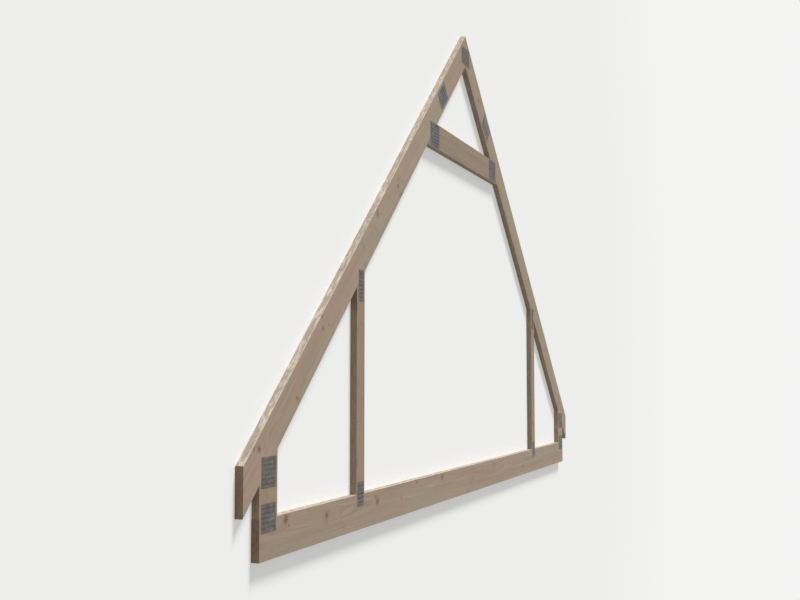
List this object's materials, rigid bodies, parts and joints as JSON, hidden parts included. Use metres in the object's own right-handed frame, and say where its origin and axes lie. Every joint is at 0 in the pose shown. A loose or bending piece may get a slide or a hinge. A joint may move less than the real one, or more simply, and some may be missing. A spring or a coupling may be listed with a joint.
{
  "type": "attic roof truss",
  "caption": "Timber attic roof truss with raised heels, knee posts, a collar tie and punched steel nail plates.",
  "frame": {"origin": "middle of the truss's outline, on the plane that the rear nail plates lie on", "axes": "+X across the span, +Y up the truss towards its apex, +Z through its thickness to the front face"},
  "size_m": [7.3, 3.7914, 0.0494],
  "materials": {
    "timber": "planed softwood",
    "nail_plate": "galvanised"
  },
  "bodies": {
    "root": {"bottom_chord": "timber", "collar_tie": "timber", "lower_rafter_left": "timber", "lower_rafter_right": "timber", "upper_rafter_left": "timber", "upper_rafter_right": "timber", "heel_post_left": "timber", "heel_post_right": "timber", "knee_post_left": "timber", "knee_post_right": "timber", "heel_head_plate_left_front": "nail_plate", "heel_head_plate_left_rear": "nail_plate", "heel_head_plate_right_front": "nail_plate", "heel_head_plate_right_rear": "nail_plate", "heel_foot_plate_left_front": "nail_plate", "heel_foot_plate_left_rear": "nail_plate", "heel_foot_plate_right_front": "nail_plate", "heel_foot_plate_right_rear": "nail_plate", "knee_head_plate_left_front": "nail_plate", "knee_head_plate_left_rear": "nail_plate", "knee_head_plate_right_front": "nail_plate", "knee_head_plate_right_rear": "nail_plate", "knee_foot_plate_left_front": "nail_plate", "knee_foot_plate_left_rear": "nail_plate", "knee_foot_plate_right_front": "nail_plate", "knee_foot_plate_right_rear": "nail_plate", "collar_plate_left_front": "nail_plate", "collar_plate_left_rear": "nail_plate", "collar_plate_right_front": "nail_plate", "collar_plate_right_rear": "nail_plate", "upper_rafter_plate_left_front": "nail_plate", "upper_rafter_plate_left_rear": "nail_plate", "upper_rafter_plate_right_front": "nail_plate", "upper_rafter_plate_right_rear": "nail_plate", "apex_plate_front": "nail_plate", "apex_plate_rear": "nail_plate"}
  },
  "joints": []
}
